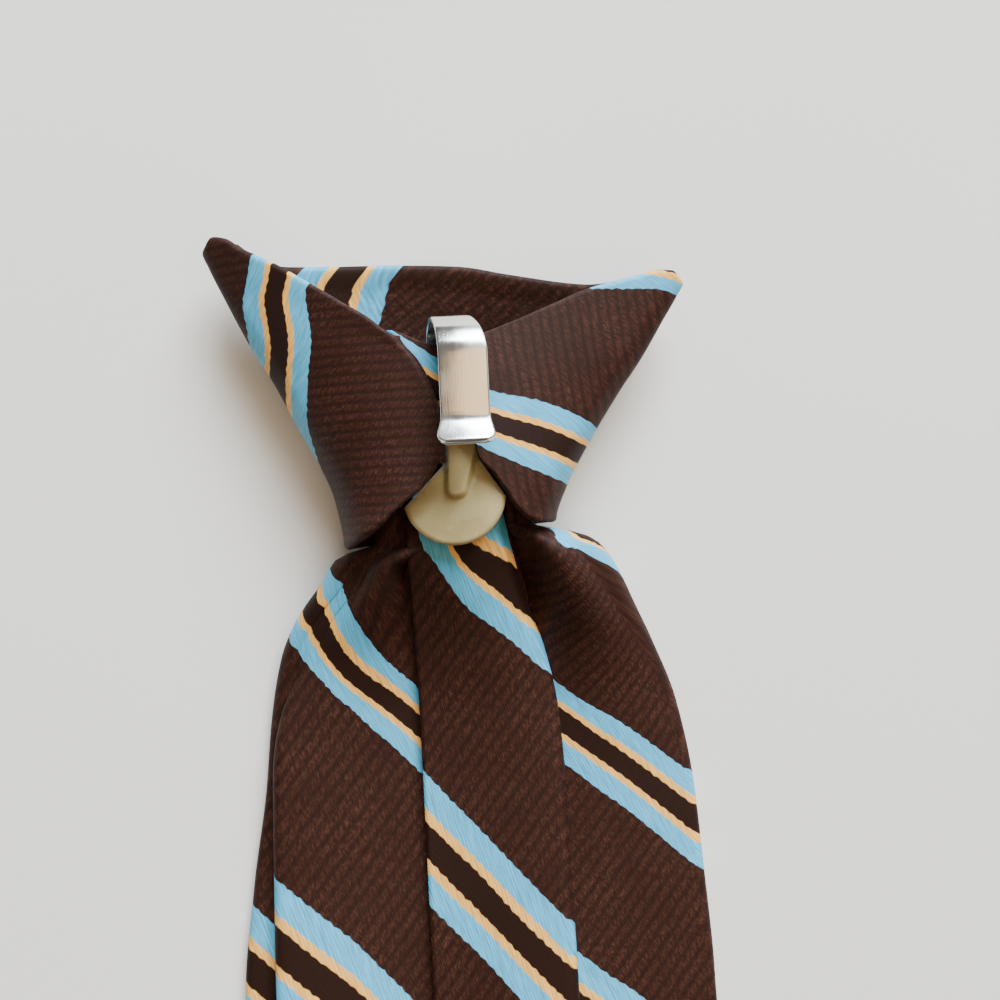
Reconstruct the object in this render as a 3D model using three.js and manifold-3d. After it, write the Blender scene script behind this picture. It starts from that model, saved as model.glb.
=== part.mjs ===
// A clip-on tie lying on its face. +X runs across it, +Y runs up towards the collar, +Z points away from
// the surface under it, so its back and its clip are on top. All sizes are in millimetres.
import * as THREE from 'three';
import Module from 'manifold-3d';
import { mergeVertices } from 'three/addons/utils/BufferGeometryUtils.js';

const wasm = await Module();
wasm.setup();

// Overall sizes
const totalLength = 500;
const bladeWidth = 88;
const tipLength = 44;

// Blade: one cloth, folded into a front and three back panels
const clothThickness = 1.0;
const layerGap = 0.35;
const shoulderLength = 60;
const shoulderHalfWidth = 30.8;
const bundleHeight = 10;
const pleatDepth = 5;
const creaseDepth = 4.5;
const seamShare = -0.195;
const seamOverlap = 5;
const seamCover = 1.2;
const longestCover = 0.62;
const shoulderRound = 2.8;
const openRise = 0.3;
const tipHalfWidth = 2.4;

// Knot: one cloth wound into a flattened funnel whose ends cross on the back
const knotHeight = 38.5;
const knotWidth = 60;
const knotDepth = 17.6;
const knotCloth = 1.3;
const wingGap = 0.35;
const hiddenDip = 0.3;
const earRadius = 1.4;
const neckRadius = 3;
const foldHeight = 8.4;

// Hook: a bent metal strip
const stripThickness = 0.9;
const stripWidth = 5.8;
const stripRootWidth = 3.8;
const stripLipWidth = 7;
const hookRadius = 4.45;
const hookCentreX = 2.1;
const hookLean = 2.6;
const hookBendY = 21.4;
const hookLegZ = 12.4;
const hookLegEndY = 13.6;
const hookLipY = 14.2;
const lipLength = 3.2;
const lipRise = 1.5;
const lipCorner = 1.1;

// Former: the moulded piece inside the knot. Its plate slopes up out of the knot's mouth and ends in a fan,
// a tongue lies on the plate, and a bar inside the knot carries the hook.
const fanLeft = [-6.1, 3.7];
const fanBottom = [0.1, -1.1];
const fanRight = [6.4, 4.6];
const fanNeckLeft = [-0.8, 9.1];
const fanNeckRight = [3.4, 9.1];
const fanTop = 13.9;
const fanSlope = 0.2;
const plateThickness = 1.8;
const plateBevel = 0.4;
const plateEndY = 12.2;
const tongueHeight = 1;
const tongueEndY = 5.3;
const tongueEndX = 0.6;
const tongueEndWidth = 2.6;
const tongueRootX = 1.3;
const tongueRootWidth = 3.8;
const barWidth = 4.2;
const barTopY = 21.5;
const barTop = 11.6;

const bladeLength = totalLength - knotHeight;
const layerPitch = clothThickness + layerGap;
const doubleStep = 2 * layerPitch;

// One row for each level of the shoulders, at a share of shoulderLength below the neck. The x columns are
// shares of shoulderHalfWidth and the z columns shares of bundleHeight.
const shoulders = [
  { at: -0.15, left: -0.318, right: 0.31, crease: 0.146, strip: 0.09, pleat: 0, creased: 0, lift: 0.21,
    curl: 0.12, foldL: 0.3, foldR: 0.4, seam: 0.6, valley: 0.34, crownL: 0.05, crownM: 0.04, crownR: 0.08 },
  { at: -0.012, left: -0.345, right: 0.308, crease: 0.192, strip: 0.09, pleat: 0, creased: 0, lift: 0.21,
    curl: 0.18, foldL: 0.46, foldR: 0.44, seam: 0.84, valley: 0.42, crownL: 0.1, crownM: 0.04, crownR: 0.2 },
  { at: 0.018, left: -0.352, right: 0.53, crease: 0.201, strip: 0.09, pleat: 0, creased: 0, lift: 0.21,
    curl: 0.16, foldL: 0.48, foldR: 0.54, seam: 0.86, valley: 0.42, crownL: 0.16, crownM: 0.06, crownR: 0.26 },
  { at: 0.044, left: -0.506, right: 0.6, crease: 0.214, strip: 0.09, pleat: 0, creased: 0, lift: 0.17,
    curl: 0.12, foldL: 0.5, foldR: 0.62, seam: 0.84, valley: 0.4, crownL: 0.22, crownM: 0.14, crownR: 0.32 },
  { at: 0.1, left: -0.588, right: 0.667, crease: 0.237, strip: 0.07, pleat: 0, creased: 0, lift: 0.12,
    curl: 0.08, foldL: 0.46, foldR: 0.58, seam: 0.72, valley: 0.34, crownL: 0.24, crownM: 0.14, crownR: 0.34 },
  { at: 0.17, left: -0.695, right: 0.727, crease: 0.273, strip: 0.05, pleat: 0, creased: 0.1, lift: 0.06,
    curl: 0.05, foldL: 0.36, foldR: 0.46, seam: 0.58, valley: 0.28, crownL: 0.2, crownM: 0.1, crownR: 0.3 },
  { at: 0.25, left: -0.772, right: 0.795, crease: 0.321, strip: 0.02, pleat: 0, creased: 0.4, lift: 0.02,
    curl: 0.03, foldL: 0.26, foldR: 0.32, seam: 0.45, valley: 0.22, crownL: 0.14, crownM: 0.07, crownR: 0.22 },
  { at: 0.38, left: -0.83, right: 0.886, crease: 0.354, strip: 0.015, pleat: 0.6, creased: 0.8, lift: 0,
    curl: 0.01, foldL: 0.17, foldR: 0.2, seam: 0.33, valley: 0.16, crownL: 0.07, crownM: 0.03, crownR: 0.12 },
  { at: 0.55, left: -0.873, right: 0.945, crease: 0.364, strip: 0.045, pleat: 1, creased: 1, lift: 0,
    curl: 0, foldL: 0.135, foldR: 0.15, seam: 0.28, valley: 0.135, crownL: 0.03, crownM: 0.01, crownR: 0.05 },
  { at: 0.75, left: -0.942, right: 0.974, crease: 0.369, strip: 0.1, pleat: 1, creased: 1, lift: 0,
    curl: 0, foldL: 0.135, foldR: 0.135, seam: 0.27, valley: 0.135, crownL: 0, crownM: 0, crownR: 0.02 },
  { at: 1, left: -1, right: 1, crease: 0.377, strip: 0.146, pleat: 1, creased: 1, lift: 0,
    curl: 0, foldL: 0.135, foldR: 0.135, seam: 0.27, valley: 0.135, crownL: 0, crownM: 0, crownR: 0 },
];

// How far the pleats and the overlap stay folded, at a share of tipLength past the widest place
const tipFolds = [
  { at: 0, pleat: 1, step: 1, overlap: 1 },
  { at: 0.35, pleat: 0, step: 1, overlap: 0.7 },
  { at: 0.8, pleat: 0, step: 0.1, overlap: 0.1 },
  { at: 1, pleat: 0, step: 0, overlap: 0 },
];

// Where the blade's sections lie: shares of shoulderLength, of the straight length and of tipLength
const shoulderStations = [-0.15, -0.08, -0.012, 0.018, 0.03, 0.05, 0.075, 0.1, 0.135, 0.17, 0.21, 0.25, 0.3,
  0.36, 0.43, 0.5, 0.6, 0.7, 0.84, 1];
const straightStations = [0.2, 0.4, 0.6, 0.8, 1];
const tipStations = [0.18, 0.36, 0.55, 0.74, 0.9, 1];

// The knot's outer folds from the neck (at 0) to the ears (at 1), as shares of half of knotWidth
const knotSides = [
  { at: 0, left: -0.472, right: 0.419 },
  { at: 0.165, left: -0.503, right: 0.474 },
  { at: 0.283, left: -0.56, right: 0.54 },
  { at: 0.4, left: -0.638, right: 0.612 },
  { at: 0.552, left: -0.732, right: 0.713 },
  { at: 0.686, left: -0.829, right: 0.81 },
  { at: 0.838, left: -0.923, right: 0.905 },
  { at: 0.945, left: -0.985, right: 0.972 },
  { at: 1, left: -1.01, right: 1 },
];

// Height of the knot's front in its middle, as a share of foldHeight
const knotFront = [
  { at: 0, z: 0.12 },
  { at: 0.15, z: 0.085 },
  { at: 0.4, z: 0.0774 },
  { at: 0.7, z: 0.1 },
  { at: 0.9, z: 0.27 },
  { at: 1, z: 0.4 },
];

// Top rim of the front from the left ear to the right one: how far it dips under a straight line, as a
// share of knotHeight
const rim = [
  { at: 0, dip: 0 },
  { at: 0.027, dip: -0.04 },
  { at: 0.055, dip: -0.036 },
  { at: 0.09, dip: 0 },
  { at: 0.138, dip: 0.025 },
  { at: 0.253, dip: 0.011 },
  { at: 0.393, dip: -0.01 },
  { at: 0.536, dip: -0.02 },
  { at: 0.642, dip: -0.003 },
  { at: 0.807, dip: 0.018 },
  { at: 0.91, dip: -0.01 },
  { at: 0.96, dip: -0.024 },
  { at: 1, dip: 0 },
];

// Edges of the two wings from the outer fold (at 0) to the wing's end (at 1), as shares of knotHeight
const leftWing = [
  { at: 0, top: 0.968, bottom: -0.031 },
  { at: 0.05, top: 0.998, bottom: -0.027 },
  { at: 0.12, top: 0.988, bottom: -0.02 },
  { at: 0.205, top: 0.95, bottom: -0.011 },
  { at: 0.358, top: 0.897, bottom: 0.005 },
  { at: 0.54, top: 0.823, bottom: 0.027 },
  { at: 0.711, top: 0.75, bottom: 0.055 },
  { at: 0.825, top: 0.703, bottom: 0.077 },
  { at: 1, top: 0.629, bottom: 0.101 },
];
const rightWing = [
  { at: 0, top: 0.797, bottom: 0.027 },
  { at: 0.03, top: 0.822, bottom: 0.0275 },
  { at: 0.08, top: 0.823, bottom: 0.0285 },
  { at: 0.144, top: 0.808, bottom: 0.03 },
  { at: 0.324, top: 0.766, bottom: 0.075 },
  { at: 0.433, top: 0.725, bottom: 0.135 },
  { at: 0.548, top: 0.681, bottom: 0.195 },
  { at: 0.662, top: 0.641, bottom: 0.239 },
  { at: 0.7, top: 0.63, bottom: 0.29 },
  { at: 0.842, top: 0.603, bottom: 0.35 },
  { at: 1, top: 0.655, bottom: 0.385 },
];

// Ends of the two wings from bottom (at 0) to top (at 1), as shares of half of knotWidth
const leftWingEnd = [
  { at: 0, x: -0.203 },
  { at: 0.095, x: -0.124 },
  { at: 0.19, x: -0.07 },
  { at: 0.27, x: -0.044 },
  { at: 0.35, x: -0.02 },
  { at: 0.55, x: -0.034 },
  { at: 0.78, x: -0.084 },
  { at: 0.86, x: -0.114 },
  { at: 1, x: -0.178 },
];
const rightWingEnd = [
  { at: 0, x: -0.034 },
  { at: 1, x: -0.235 },
];

const mix = (a, b, share) => a + (b - a) * share;
const smooth = (share) => share * share * (3 - 2 * share);

// Slope of a table's column at a row, flat where the column turns
function slopeAt(table, name, row) {
  const before = table[row - 1];
  const here = table[row];
  const after = table[row + 1];
  if (!before || !after) return 0;
  const back = (here[name] - before[name]) / (here.at - before.at);
  const ahead = (after[name] - here[name]) / (after.at - here.at);
  if (back * ahead <= 0) return 0;
  return 2 * back * ahead / (back + ahead);
}

// A smooth curve through a table's column that never swings past its rows
function lookUp(table, name, at) {
  const last = table.length - 1;
  if (at <= table[0].at) return table[0][name];
  if (at >= table[last].at) return table[last][name];
  const row = table.findIndex((entry) => entry.at > at) - 1;
  const span = table[row + 1].at - table[row].at;
  const share = (at - table[row].at) / span;
  const start = table[row][name];
  const end = table[row + 1][name];
  const bend = span * share * (1 - share);
  const slopeStart = slopeAt(table, name, row);
  const slopeEnd = slopeAt(table, name, row + 1);
  return mix(start, end, smooth(share)) + bend * ((1 - share) * slopeStart - share * slopeEnd);
}

const steps = (count) => Array.from({ length: count }, (_, index) => index / count);

// A closed sheet of cloth round a grid of points, half of the thickness on each side
function thickSheet(rows, thickness) {
  const down = rows.length;
  const across = rows[0].length;
  const positions = [];
  for (const side of [1, -1]) {
    rows.forEach((row, j) => {
      row.forEach((point, i) => {
        const before = row[Math.max(i - 1, 0)];
        const after = row[Math.min(i + 1, across - 1)];
        const tangent = new THREE.Vector3();
        if (i > 0) tangent.add(point.clone().sub(before).normalize());
        if (i < across - 1) tangent.add(after.clone().sub(point).normalize());
        const above = rows[Math.max(j - 1, 0)][i];
        const below = rows[Math.min(j + 1, down - 1)][i];
        const normal = tangent.cross(below.clone().sub(above)).normalize();
        const moved = point.clone().addScaledVector(normal, side * thickness / 2);
        positions.push(moved.x, moved.y, moved.z);
      });
    });
  }
  const indices = [];
  const back = down * across;
  const quad = (a, b, c, d) => indices.push(a, b, c, a, c, d);
  for (let j = 0; j < down - 1; j += 1) {
    for (let i = 0; i < across - 1; i += 1) {
      const at = j * across + i;
      quad(at, at + 1, at + across + 1, at + across);
      quad(back + at, back + at + across, back + at + across + 1, back + at + 1);
    }
    const first = j * across;
    const last = first + across - 1;
    quad(first, first + across, back + first + across, back + first);
    quad(last, back + last, back + last + across, last + across);
  }
  for (let i = 0; i < across - 1; i += 1) {
    const end = (down - 1) * across + i;
    quad(i, back + i, back + i + 1, i + 1);
    quad(end, end + 1, back + end + 1, back + end);
  }
  const geometry = new THREE.BufferGeometry();
  geometry.setAttribute('position', new THREE.Float32BufferAttribute(positions, 3));
  geometry.setIndex(indices);
  geometry.computeVertexNormals();
  return geometry;
}

// Points on an arc in a section, angles in degrees from +X towards +Z
function arc(x, z, radius, from, to, count) {
  return steps(count - 1).concat(1).map((share) => {
    const angle = THREE.MathUtils.degToRad(mix(from, to, share));
    return [x + radius * Math.cos(angle), z + radius * Math.sin(angle)];
  });
}

// Half of the blade's width at a distance below the neck
function halfWidthAt(below) {
  const widest = bladeLength - tipLength;
  const grown = (below - shoulderLength) / (widest - shoulderLength);
  if (below <= widest) return mix(shoulderHalfWidth, bladeWidth / 2, Math.max(grown, 0));
  return mix(bladeWidth / 2, tipHalfWidth, (below - widest) / tipLength);
}

// The folded cloth's middle line at a distance below the neck, from the left flap's hidden end round the
// front to the seam that lies on top
function bladeSection(below) {
  const at = below / shoulderLength;
  const tip = (below - bladeLength + tipLength) / tipLength;
  const half = halfWidthAt(below);
  const tall = (name) => lookUp(shoulders, name, at) * bundleHeight;
  const wide = (name) => lookUp(shoulders, name, at) * half;
  const pleat = lookUp(shoulders, 'pleat', at) * lookUp(tipFolds, 'pleat', tip);
  const creased = lookUp(shoulders, 'creased', at) * lookUp(tipFolds, 'pleat', tip);
  const step = doubleStep * lookUp(tipFolds, 'step', tip);
  const flat = lookUp(tipFolds, 'step', tip);

  const front = tall('lift') + clothThickness / 2;
  const edge = front + tall('curl');
  const radiusL = tall('foldL') / 2;
  const radiusR = tall('foldR') / 2;
  const foldL = wide('left') + radiusL + clothThickness / 2;
  const foldR = wide('right') - radiusR - clothThickness / 2;
  const topL = edge + 2 * radiusL;
  const topR = edge + 2 * radiusR;
  const seamX = seamShare * half;
  const seamZ = front + mix(layerPitch * 2, tall('seam'), flat);
  const hiddenX = seamX + seamOverlap * lookUp(tipFolds, 'overlap', tip);
  const hiddenZ = seamZ - layerPitch;
  const valley = front + tall('valley');
  const turn = layerPitch / 2;
  const round = Math.min(shoulderRound, half * 0.1);

  const pleatX = wide('left') + wide('strip') + turn + clothThickness / 2;
  const folded = [
    ...arc(pleatX, topL + 3 * turn, turn, 90, 270, 4),
    ...arc(pleatX + pleatDepth, topL + turn, turn, 90, -90, 4),
  ];
  const unfolded = folded.map((_, index) => {
    const share = index / (folded.length - 1);
    return [foldL + round * (1 - 0.93 * share), topL + openRise * step * smooth(1 - share)];
  });
  const leftPleat = folded.map(([x, z], index) => [
    mix(unfolded[index][0], x, pleat),
    mix(unfolded[index][1], z, pleat),
  ]);

  const creaseX = wide('crease');
  const tucked = [
    ...arc(creaseX - creaseDepth, valley + turn, turn, 270, 90, 4),
    ...arc(creaseX, valley + 3 * turn, turn, -90, 90, 4),
  ];
  const open = tucked.map((_, index) => {
    const share = index / (tucked.length - 1);
    return [creaseX + round * (0.35 - 0.7 * share), valley + step * share ** 1.6];
  });
  const rightCrease = tucked.map(([x, z], index) => [
    mix(open[index][0], x, creased),
    mix(open[index][1], z, creased),
  ]);

  const run = (start, end, crown, count) => steps(count).map((share) => [
    mix(start[0], end[0], share),
    mix(start[1], end[1], smooth(share)) + crown * Math.sin(share * Math.PI),
  ]);
  const coverShare = (hiddenX - seamX + seamCover) / (hiddenX - leftPleat[0][0]);
  const turnedUnder = [mix(hiddenX, leftPleat[0][0], Math.min(coverShare, longestCover)), hiddenZ];
  const leftPanel = [
    ...run([hiddenX, hiddenZ], turnedUnder, 0, 2),
    ...run(turnedUnder, leftPleat[0], tall('crownL'), 6),
  ];
  const rightPanel = run([foldR, topR], rightCrease[0], tall('crownR'), 6).slice(1);
  const middlePanel = run(rightCrease[7], [seamX, seamZ], tall('crownM'), 6).slice(1);
  const frontPanel = steps(8).slice(1).map((share) => [
    mix(foldL, foldR, share),
    mix(front, edge, Math.abs(2 * share - 1) ** 2.2),
  ]);
  return [
    ...leftPanel,
    ...leftPleat,
    ...arc(foldL, edge + radiusL, radiusL, 90, 270, 5),
    ...frontPanel,
    ...arc(foldR, edge + radiusR, radiusR, -90, 90, 5),
    ...rightPanel,
    ...rightCrease,
    ...middlePanel,
    [seamX, seamZ],
  ];
}

function blade() {
  const straight = bladeLength - tipLength - shoulderLength;
  const stations = [
    ...shoulderStations.map((share) => share * shoulderLength),
    ...straightStations.map((share) => shoulderLength + share * straight),
    ...tipStations.map((share) => bladeLength - tipLength + share * tipLength),
  ];
  const onBlade = (below) => bladeSection(below).map(([x, z]) => new THREE.Vector3(x, -below, z));
  return thickSheet(stations.map(onBlade), clothThickness);
}

// The outer fold of the knot in its section: the cloth turns through half a circle and leaves it level
const foldTurn = (count) => steps(count).map((share) => share * Math.PI / 2);

// One line of the knot's cloth at a share of the way from the mouth to the ears, from the left wing's end
// round the front to the right wing's hidden end
function knotRow(up) {
  const half = knotWidth / 2;
  const inset = knotCloth / 2;
  const radius = mix(neckRadius, earRadius, smooth(up));
  const left = lookUp(knotSides, 'left', up) * half + inset;
  const right = lookUp(knotSides, 'right', up) * half - inset;
  const low = lookUp(knotFront, 'z', up) * foldHeight;
  const dipAt = (across) => lookUp(rim, 'dip', across) * knotHeight;
  const straightY = (name, across) => mix(leftWing[0][name], rightWing[0][name], across) * knotHeight;
  const frontY = (across) => mix(straightY('bottom', across), straightY('top', across) - dipAt(across), up);

  // Height over the outer fold at a distance inside it
  const cap = (inside) => radius * Math.sqrt(1 - Math.max(0, 1 - inside / radius) ** 2);
  const wingTop = knotDepth - inset - foldHeight;
  const under = knotCloth + wingGap;
  const wing = (table, endX, foldX, reach, share) => {
    const x = mix(foldX, endX, share);
    const y = mix(lookUp(table, 'bottom', share), lookUp(table, 'top', share), up) * knotHeight;
    const rise = (reach - radius) * (1 - (1 - share) ** mix(3, 1.5, up));
    return new THREE.Vector3(x, y, foldHeight + cap(Math.abs(x - foldX)) + rise);
  };

  const endL = lookUp(leftWingEnd, 'x', up) * half;
  const endR = lookUp(rightWingEnd, 'x', up) * half;
  const turnShares = (span) => foldTurn(4).map((angle) => radius * (1 - Math.cos(angle)) / span);
  const sharesL = turnShares(endL - left);
  const sharesR = turnShares(right - endR);
  const startL = radius / (endL - left);
  const startR = radius / (right - endR);
  const runL = steps(7).map((share) => mix(startL, 1, share)).concat(1);
  const runR = steps(9).map((share) => mix(startR, 1, share)).concat(1);
  const leftWingLine = [...sharesL, ...runL].map((share) => wing(leftWing, endL, left, wingTop, share));
  const rightWingLine = [...sharesR, ...runR].map((share) => {
    const point = wing(rightWing, endR, right, wingTop - under, share);
    point.z -= hiddenDip * share ** 5;
    return point;
  });

  const span = right - left;
  const turned = foldTurn(4).slice(1).map((angle) => radius * (1 - Math.cos(angle)) / span);
  const startF = radius / span;
  const inner = steps(12).map((share) => mix(startF, 1 - startF, share)).concat(1 - startF);
  const shares = [...turned, ...inner, ...turned.map((share) => 1 - share).reverse()];
  const front = shares.map((share) => {
    const x = mix(left, right, share);
    const drop = foldHeight - radius - low;
    const belly = 1 - Math.abs(2 * share - 1) ** 2.2;
    const z = foldHeight - cap(Math.min(x - left, right - x)) - drop * belly;
    return new THREE.Vector3(x, frontY(share), z);
  });
  return [...leftWingLine.reverse(), ...front, ...rightWingLine];
}

function knotWrap() {
  const rows = steps(13).concat(1).map((share) => knotRow(share)).reverse();
  return thickSheet(rows, knotCloth);
}

// The strip's middle line in (y, z) with its sideways place and its width, from inside the knot to the lip
function hookLine() {
  const crest = hookLegZ + 2 * hookRadius;
  const stations = [[hookLegEndY, hookLegZ, 0, stripRootWidth]];
  for (const share of steps(12).concat(1)) {
    const angle = share * Math.PI - Math.PI / 2;
    const y = hookBendY + hookRadius * Math.cos(angle);
    const lean = Math.max(0, (share - 0.2) / 0.8);
    const width = mix(stripRootWidth, stripWidth, smooth(Math.max(0, (share - 0.25) / 0.75)));
    stations.push([y, hookLegZ + hookRadius + hookRadius * Math.sin(angle), lean, width]);
  }
  stations.push([hookLipY, crest, 1, stripWidth]);
  for (const share of [0.3, 0.6, 0.8, 0.92, 1]) {
    const corner = Math.max(0, 1 - (1 - share) * lipLength / lipCorner);
    const cut = 2 * lipCorner * (1 - Math.sqrt(1 - corner ** 2));
    const width = mix(stripWidth, stripLipWidth, smooth(share)) - cut;
    stations.push([hookLipY - share * lipLength, crest + lipRise * share ** 1.7, 1, width]);
  }
  return stations.map(([y, z, lean, width]) => ({
    y,
    z,
    x: hookCentreX - hookLean * (1 - smooth(lean)),
    width,
  }));
}

// A closed bar through sections with four corners each
function barThrough(sections) {
  const positions = sections.flatMap((corners) => corners.flat());
  const indices = [];
  const quad = (a, b, c, d) => indices.push(a, b, c, a, c, d);
  for (let j = 0; j < sections.length - 1; j += 1) {
    for (let i = 0; i < 4; i += 1) {
      const next = (i + 1) % 4;
      quad(4 * j + i, 4 * j + next, 4 * j + 4 + next, 4 * j + 4 + i);
    }
  }
  const end = 4 * (sections.length - 1);
  quad(0, 3, 2, 1);
  quad(end, end + 1, end + 2, end + 3);
  const geometry = new THREE.BufferGeometry();
  geometry.setAttribute('position', new THREE.Float32BufferAttribute(positions, 3));
  geometry.setIndex(indices);
  return geometry;
}

function clipHook() {
  const line = hookLine();
  const sections = line.map((place, index) => {
    const before = line[Math.max(index - 1, 0)];
    const after = line[Math.min(index + 1, line.length - 1)];
    const along = new THREE.Vector2(after.y - before.y, after.z - before.z).normalize();
    const outY = -along.y * stripThickness / 2;
    const outZ = along.x * stripThickness / 2;
    const lowX = place.x - place.width / 2;
    const highX = place.x + place.width / 2;
    return [
      [lowX, place.y + outY, place.z + outZ],
      [highX, place.y + outY, place.z + outZ],
      [highX, place.y - outY, place.z - outZ],
      [lowX, place.y - outY, place.z - outZ],
    ];
  });
  const geometry = barThrough(sections);
  geometry.computeVertexNormals();
  return geometry;
}

function toSolid(geometry) {
  const bare = geometry.clone();
  bare.deleteAttribute('normal');
  bare.deleteAttribute('uv');
  const merged = mergeVertices(bare, 1e-4);
  const vertProperties = new Float32Array(merged.attributes.position.array);
  const triVerts = new Uint32Array(merged.index.array);
  return new wasm.Manifold(new wasm.Mesh({ numProp: 3, vertProperties, triVerts }));
}

function toGeometry(solid) {
  const mesh = solid.getMesh();
  const geometry = new THREE.BufferGeometry();
  geometry.setAttribute('position', new THREE.BufferAttribute(new Float32Array(mesh.vertProperties), 3));
  geometry.setIndex(Array.from(mesh.triVerts));
  geometry.computeVertexNormals();
  return geometry;
}

// Height of the plate's upper face
const plateTop = (y) => fanTop - fanSlope * (y - fanRight[1]);

// Middle of the circle through three points
function circleCentre([ax, ay], [bx, by], [cx, cy]) {
  const twice = 2 * (ax * (by - cy) + bx * (cy - ay) + cx * (ay - by));
  const a = ax * ax + ay * ay;
  const b = bx * bx + by * by;
  const c = cx * cx + cy * cy;
  return [
    (a * (by - cy) + b * (cy - ay) + c * (ay - by)) / twice,
    (a * (cx - bx) + b * (ax - cx) + c * (bx - ax)) / twice,
  ];
}

// The plate's plan: a round lower edge between two corners, and straight sides that close in on its neck
function plateShape() {
  const [x, y] = circleCentre(fanLeft, fanBottom, fanRight);
  const radius = Math.hypot(fanRight[0] - x, fanRight[1] - y);
  const angleTo = (point) => Math.atan2(point[1] - y, point[0] - x);
  const shape = new THREE.Shape();
  shape.absarc(x, y, radius, angleTo(fanLeft), angleTo(fanRight));
  shape.lineTo(...fanNeckRight);
  shape.lineTo(fanNeckRight[0], plateEndY);
  shape.lineTo(fanNeckLeft[0], plateEndY);
  shape.lineTo(...fanNeckLeft);
  return shape;
}

function knotFormer() {
  const plate = new THREE.ExtrudeGeometry(plateShape(), {
    depth: plateThickness - 2 * plateBevel,
    curveSegments: 10,
    bevelThickness: plateBevel,
    bevelSize: plateBevel,
    bevelOffset: -plateBevel,
    bevelSegments: 2,
  });
  const corners = plate.attributes.position;
  for (let index = 0; index < corners.count; index += 1) {
    const rise = plateTop(corners.getY(index)) - plateThickness + plateBevel;
    corners.setZ(index, corners.getZ(index) + rise);
  }
  const section = (y, x, width, low, high) => [
    [x - width / 2, y, low],
    [x - width / 2, y, high],
    [x + width / 2, y, high],
    [x + width / 2, y, low],
  ];
  const onPlate = (y, x, width, height) => {
    const top = plateTop(y);
    return section(y, x, width, top - plateBevel, top + height);
  };
  const tongue = barThrough([
    onPlate(tongueEndY, tongueEndX, tongueEndWidth, 0.4 * tongueHeight),
    onPlate(tongueEndY + tongueHeight, tongueEndX, tongueEndWidth, tongueHeight),
    onPlate(plateEndY - 2 * tongueHeight, tongueRootX, tongueRootWidth, tongueHeight),
    onPlate(plateEndY - 0.4, tongueRootX, tongueRootWidth, 0.1),
  ]);
  const bar = barThrough([
    section(plateEndY - 1.5, tongueRootX, barWidth, barTop - plateThickness, barTop),
    section(barTopY, hookCentreX - hookLean, barWidth, barTop - plateThickness, barTop),
  ]);
  return toGeometry(toSolid(plate).add(toSolid(tongue)).add(toSolid(bar)));
}

const cloth = new THREE.MeshStandardMaterial({ color: 0x3b231d, roughness: 0.7, metalness: 0 });
const chrome = new THREE.MeshStandardMaterial({ color: 0xd9d6d0, roughness: 0.18, metalness: 1 });
const ivory = new THREE.MeshStandardMaterial({ color: 0xb9ad86, roughness: 0.35, metalness: 0 });

const tie = new THREE.Group();
tie.position.y = totalLength / 2 - knotHeight;

const pieces = [
  ['blade', blade(), cloth],
  ['knot_wrap', knotWrap(), cloth],
  ['knot_former', knotFormer(), ivory],
  ['clip_hook', clipHook(), chrome],
];
for (const [name, geometry, material] of pieces) {
  const mesh = new THREE.Mesh(geometry, material);
  mesh.name = name;
  tie.add(mesh);
}

export default tie;
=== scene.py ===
"""A clip-on tie lying on its face, seen from straight above: a folded striped blade, a striped knot
wound round a moulded former, and a bent metal hook."""
import math

import bpy
import numpy as np
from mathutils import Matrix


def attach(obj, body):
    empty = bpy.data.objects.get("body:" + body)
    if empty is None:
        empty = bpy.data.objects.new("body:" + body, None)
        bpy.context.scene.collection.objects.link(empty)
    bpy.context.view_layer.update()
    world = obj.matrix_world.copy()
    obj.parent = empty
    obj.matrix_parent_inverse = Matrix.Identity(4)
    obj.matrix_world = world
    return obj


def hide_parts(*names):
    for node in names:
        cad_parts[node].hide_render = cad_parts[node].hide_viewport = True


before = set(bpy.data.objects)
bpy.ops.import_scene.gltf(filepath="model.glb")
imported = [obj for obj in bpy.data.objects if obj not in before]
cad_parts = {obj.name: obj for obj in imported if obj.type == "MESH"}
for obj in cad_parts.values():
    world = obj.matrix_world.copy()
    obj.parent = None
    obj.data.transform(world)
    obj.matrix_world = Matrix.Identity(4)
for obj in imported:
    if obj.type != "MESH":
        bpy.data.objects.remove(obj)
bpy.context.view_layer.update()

MM = 0.001
BODY = "root"

# The tie's own measures in millimetres: x across, y up from the neck line, z up from the table
NECK_Y = 211.5
TOTAL_LENGTH = 500.0
KNOT_HEIGHT = 38.5
BLADE_LENGTH = TOTAL_LENGTH - KNOT_HEIGHT
BLADE_WIDTH = 88.0
TIP_LENGTH = 44.0
CLOTH = 1.0
LAYER_GAP = 0.35
SHOULDER_LENGTH = 60.0
SHOULDER_HALF = 30.8
BUNDLE_HEIGHT = 10.0
PLEAT_DEPTH = 5.0
CREASE_DEPTH = 4.5
SEAM_SHARE = -0.195
SEAM_OVERLAP = 5.0
SEAM_COVER = 1.2
LONGEST_COVER = 0.62
SHOULDER_ROUND = 2.8
OPEN_RISE = 0.3
TIP_HALF = 2.4

KNOT_WIDTH = 60.0
KNOT_DEPTH = 17.6
KNOT_CLOTH = 1.3
WING_GAP = 0.35
HIDDEN_DIP = 0.3
EAR_RADIUS = 1.4
NECK_RADIUS = 3.0
FOLD_HEIGHT = 8.4

STRIP_THICK = 0.9
STRIP_WIDTH = 5.8
STRIP_ROOT = 3.8
STRIP_LIP = 7.0
STRIP_EDGE = 0.26
HOOK_RADIUS = 4.45
HOOK_X = 2.1
HOOK_LEAN = 2.6
HOOK_BEND_Y = 21.4
HOOK_LEG_Z = 12.4
HOOK_LEG_END = 13.6
HOOK_LIP_Y = 14.2
LIP_LENGTH = 3.2
LIP_RISE = 1.5
LIP_CORNER = 1.1

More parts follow.
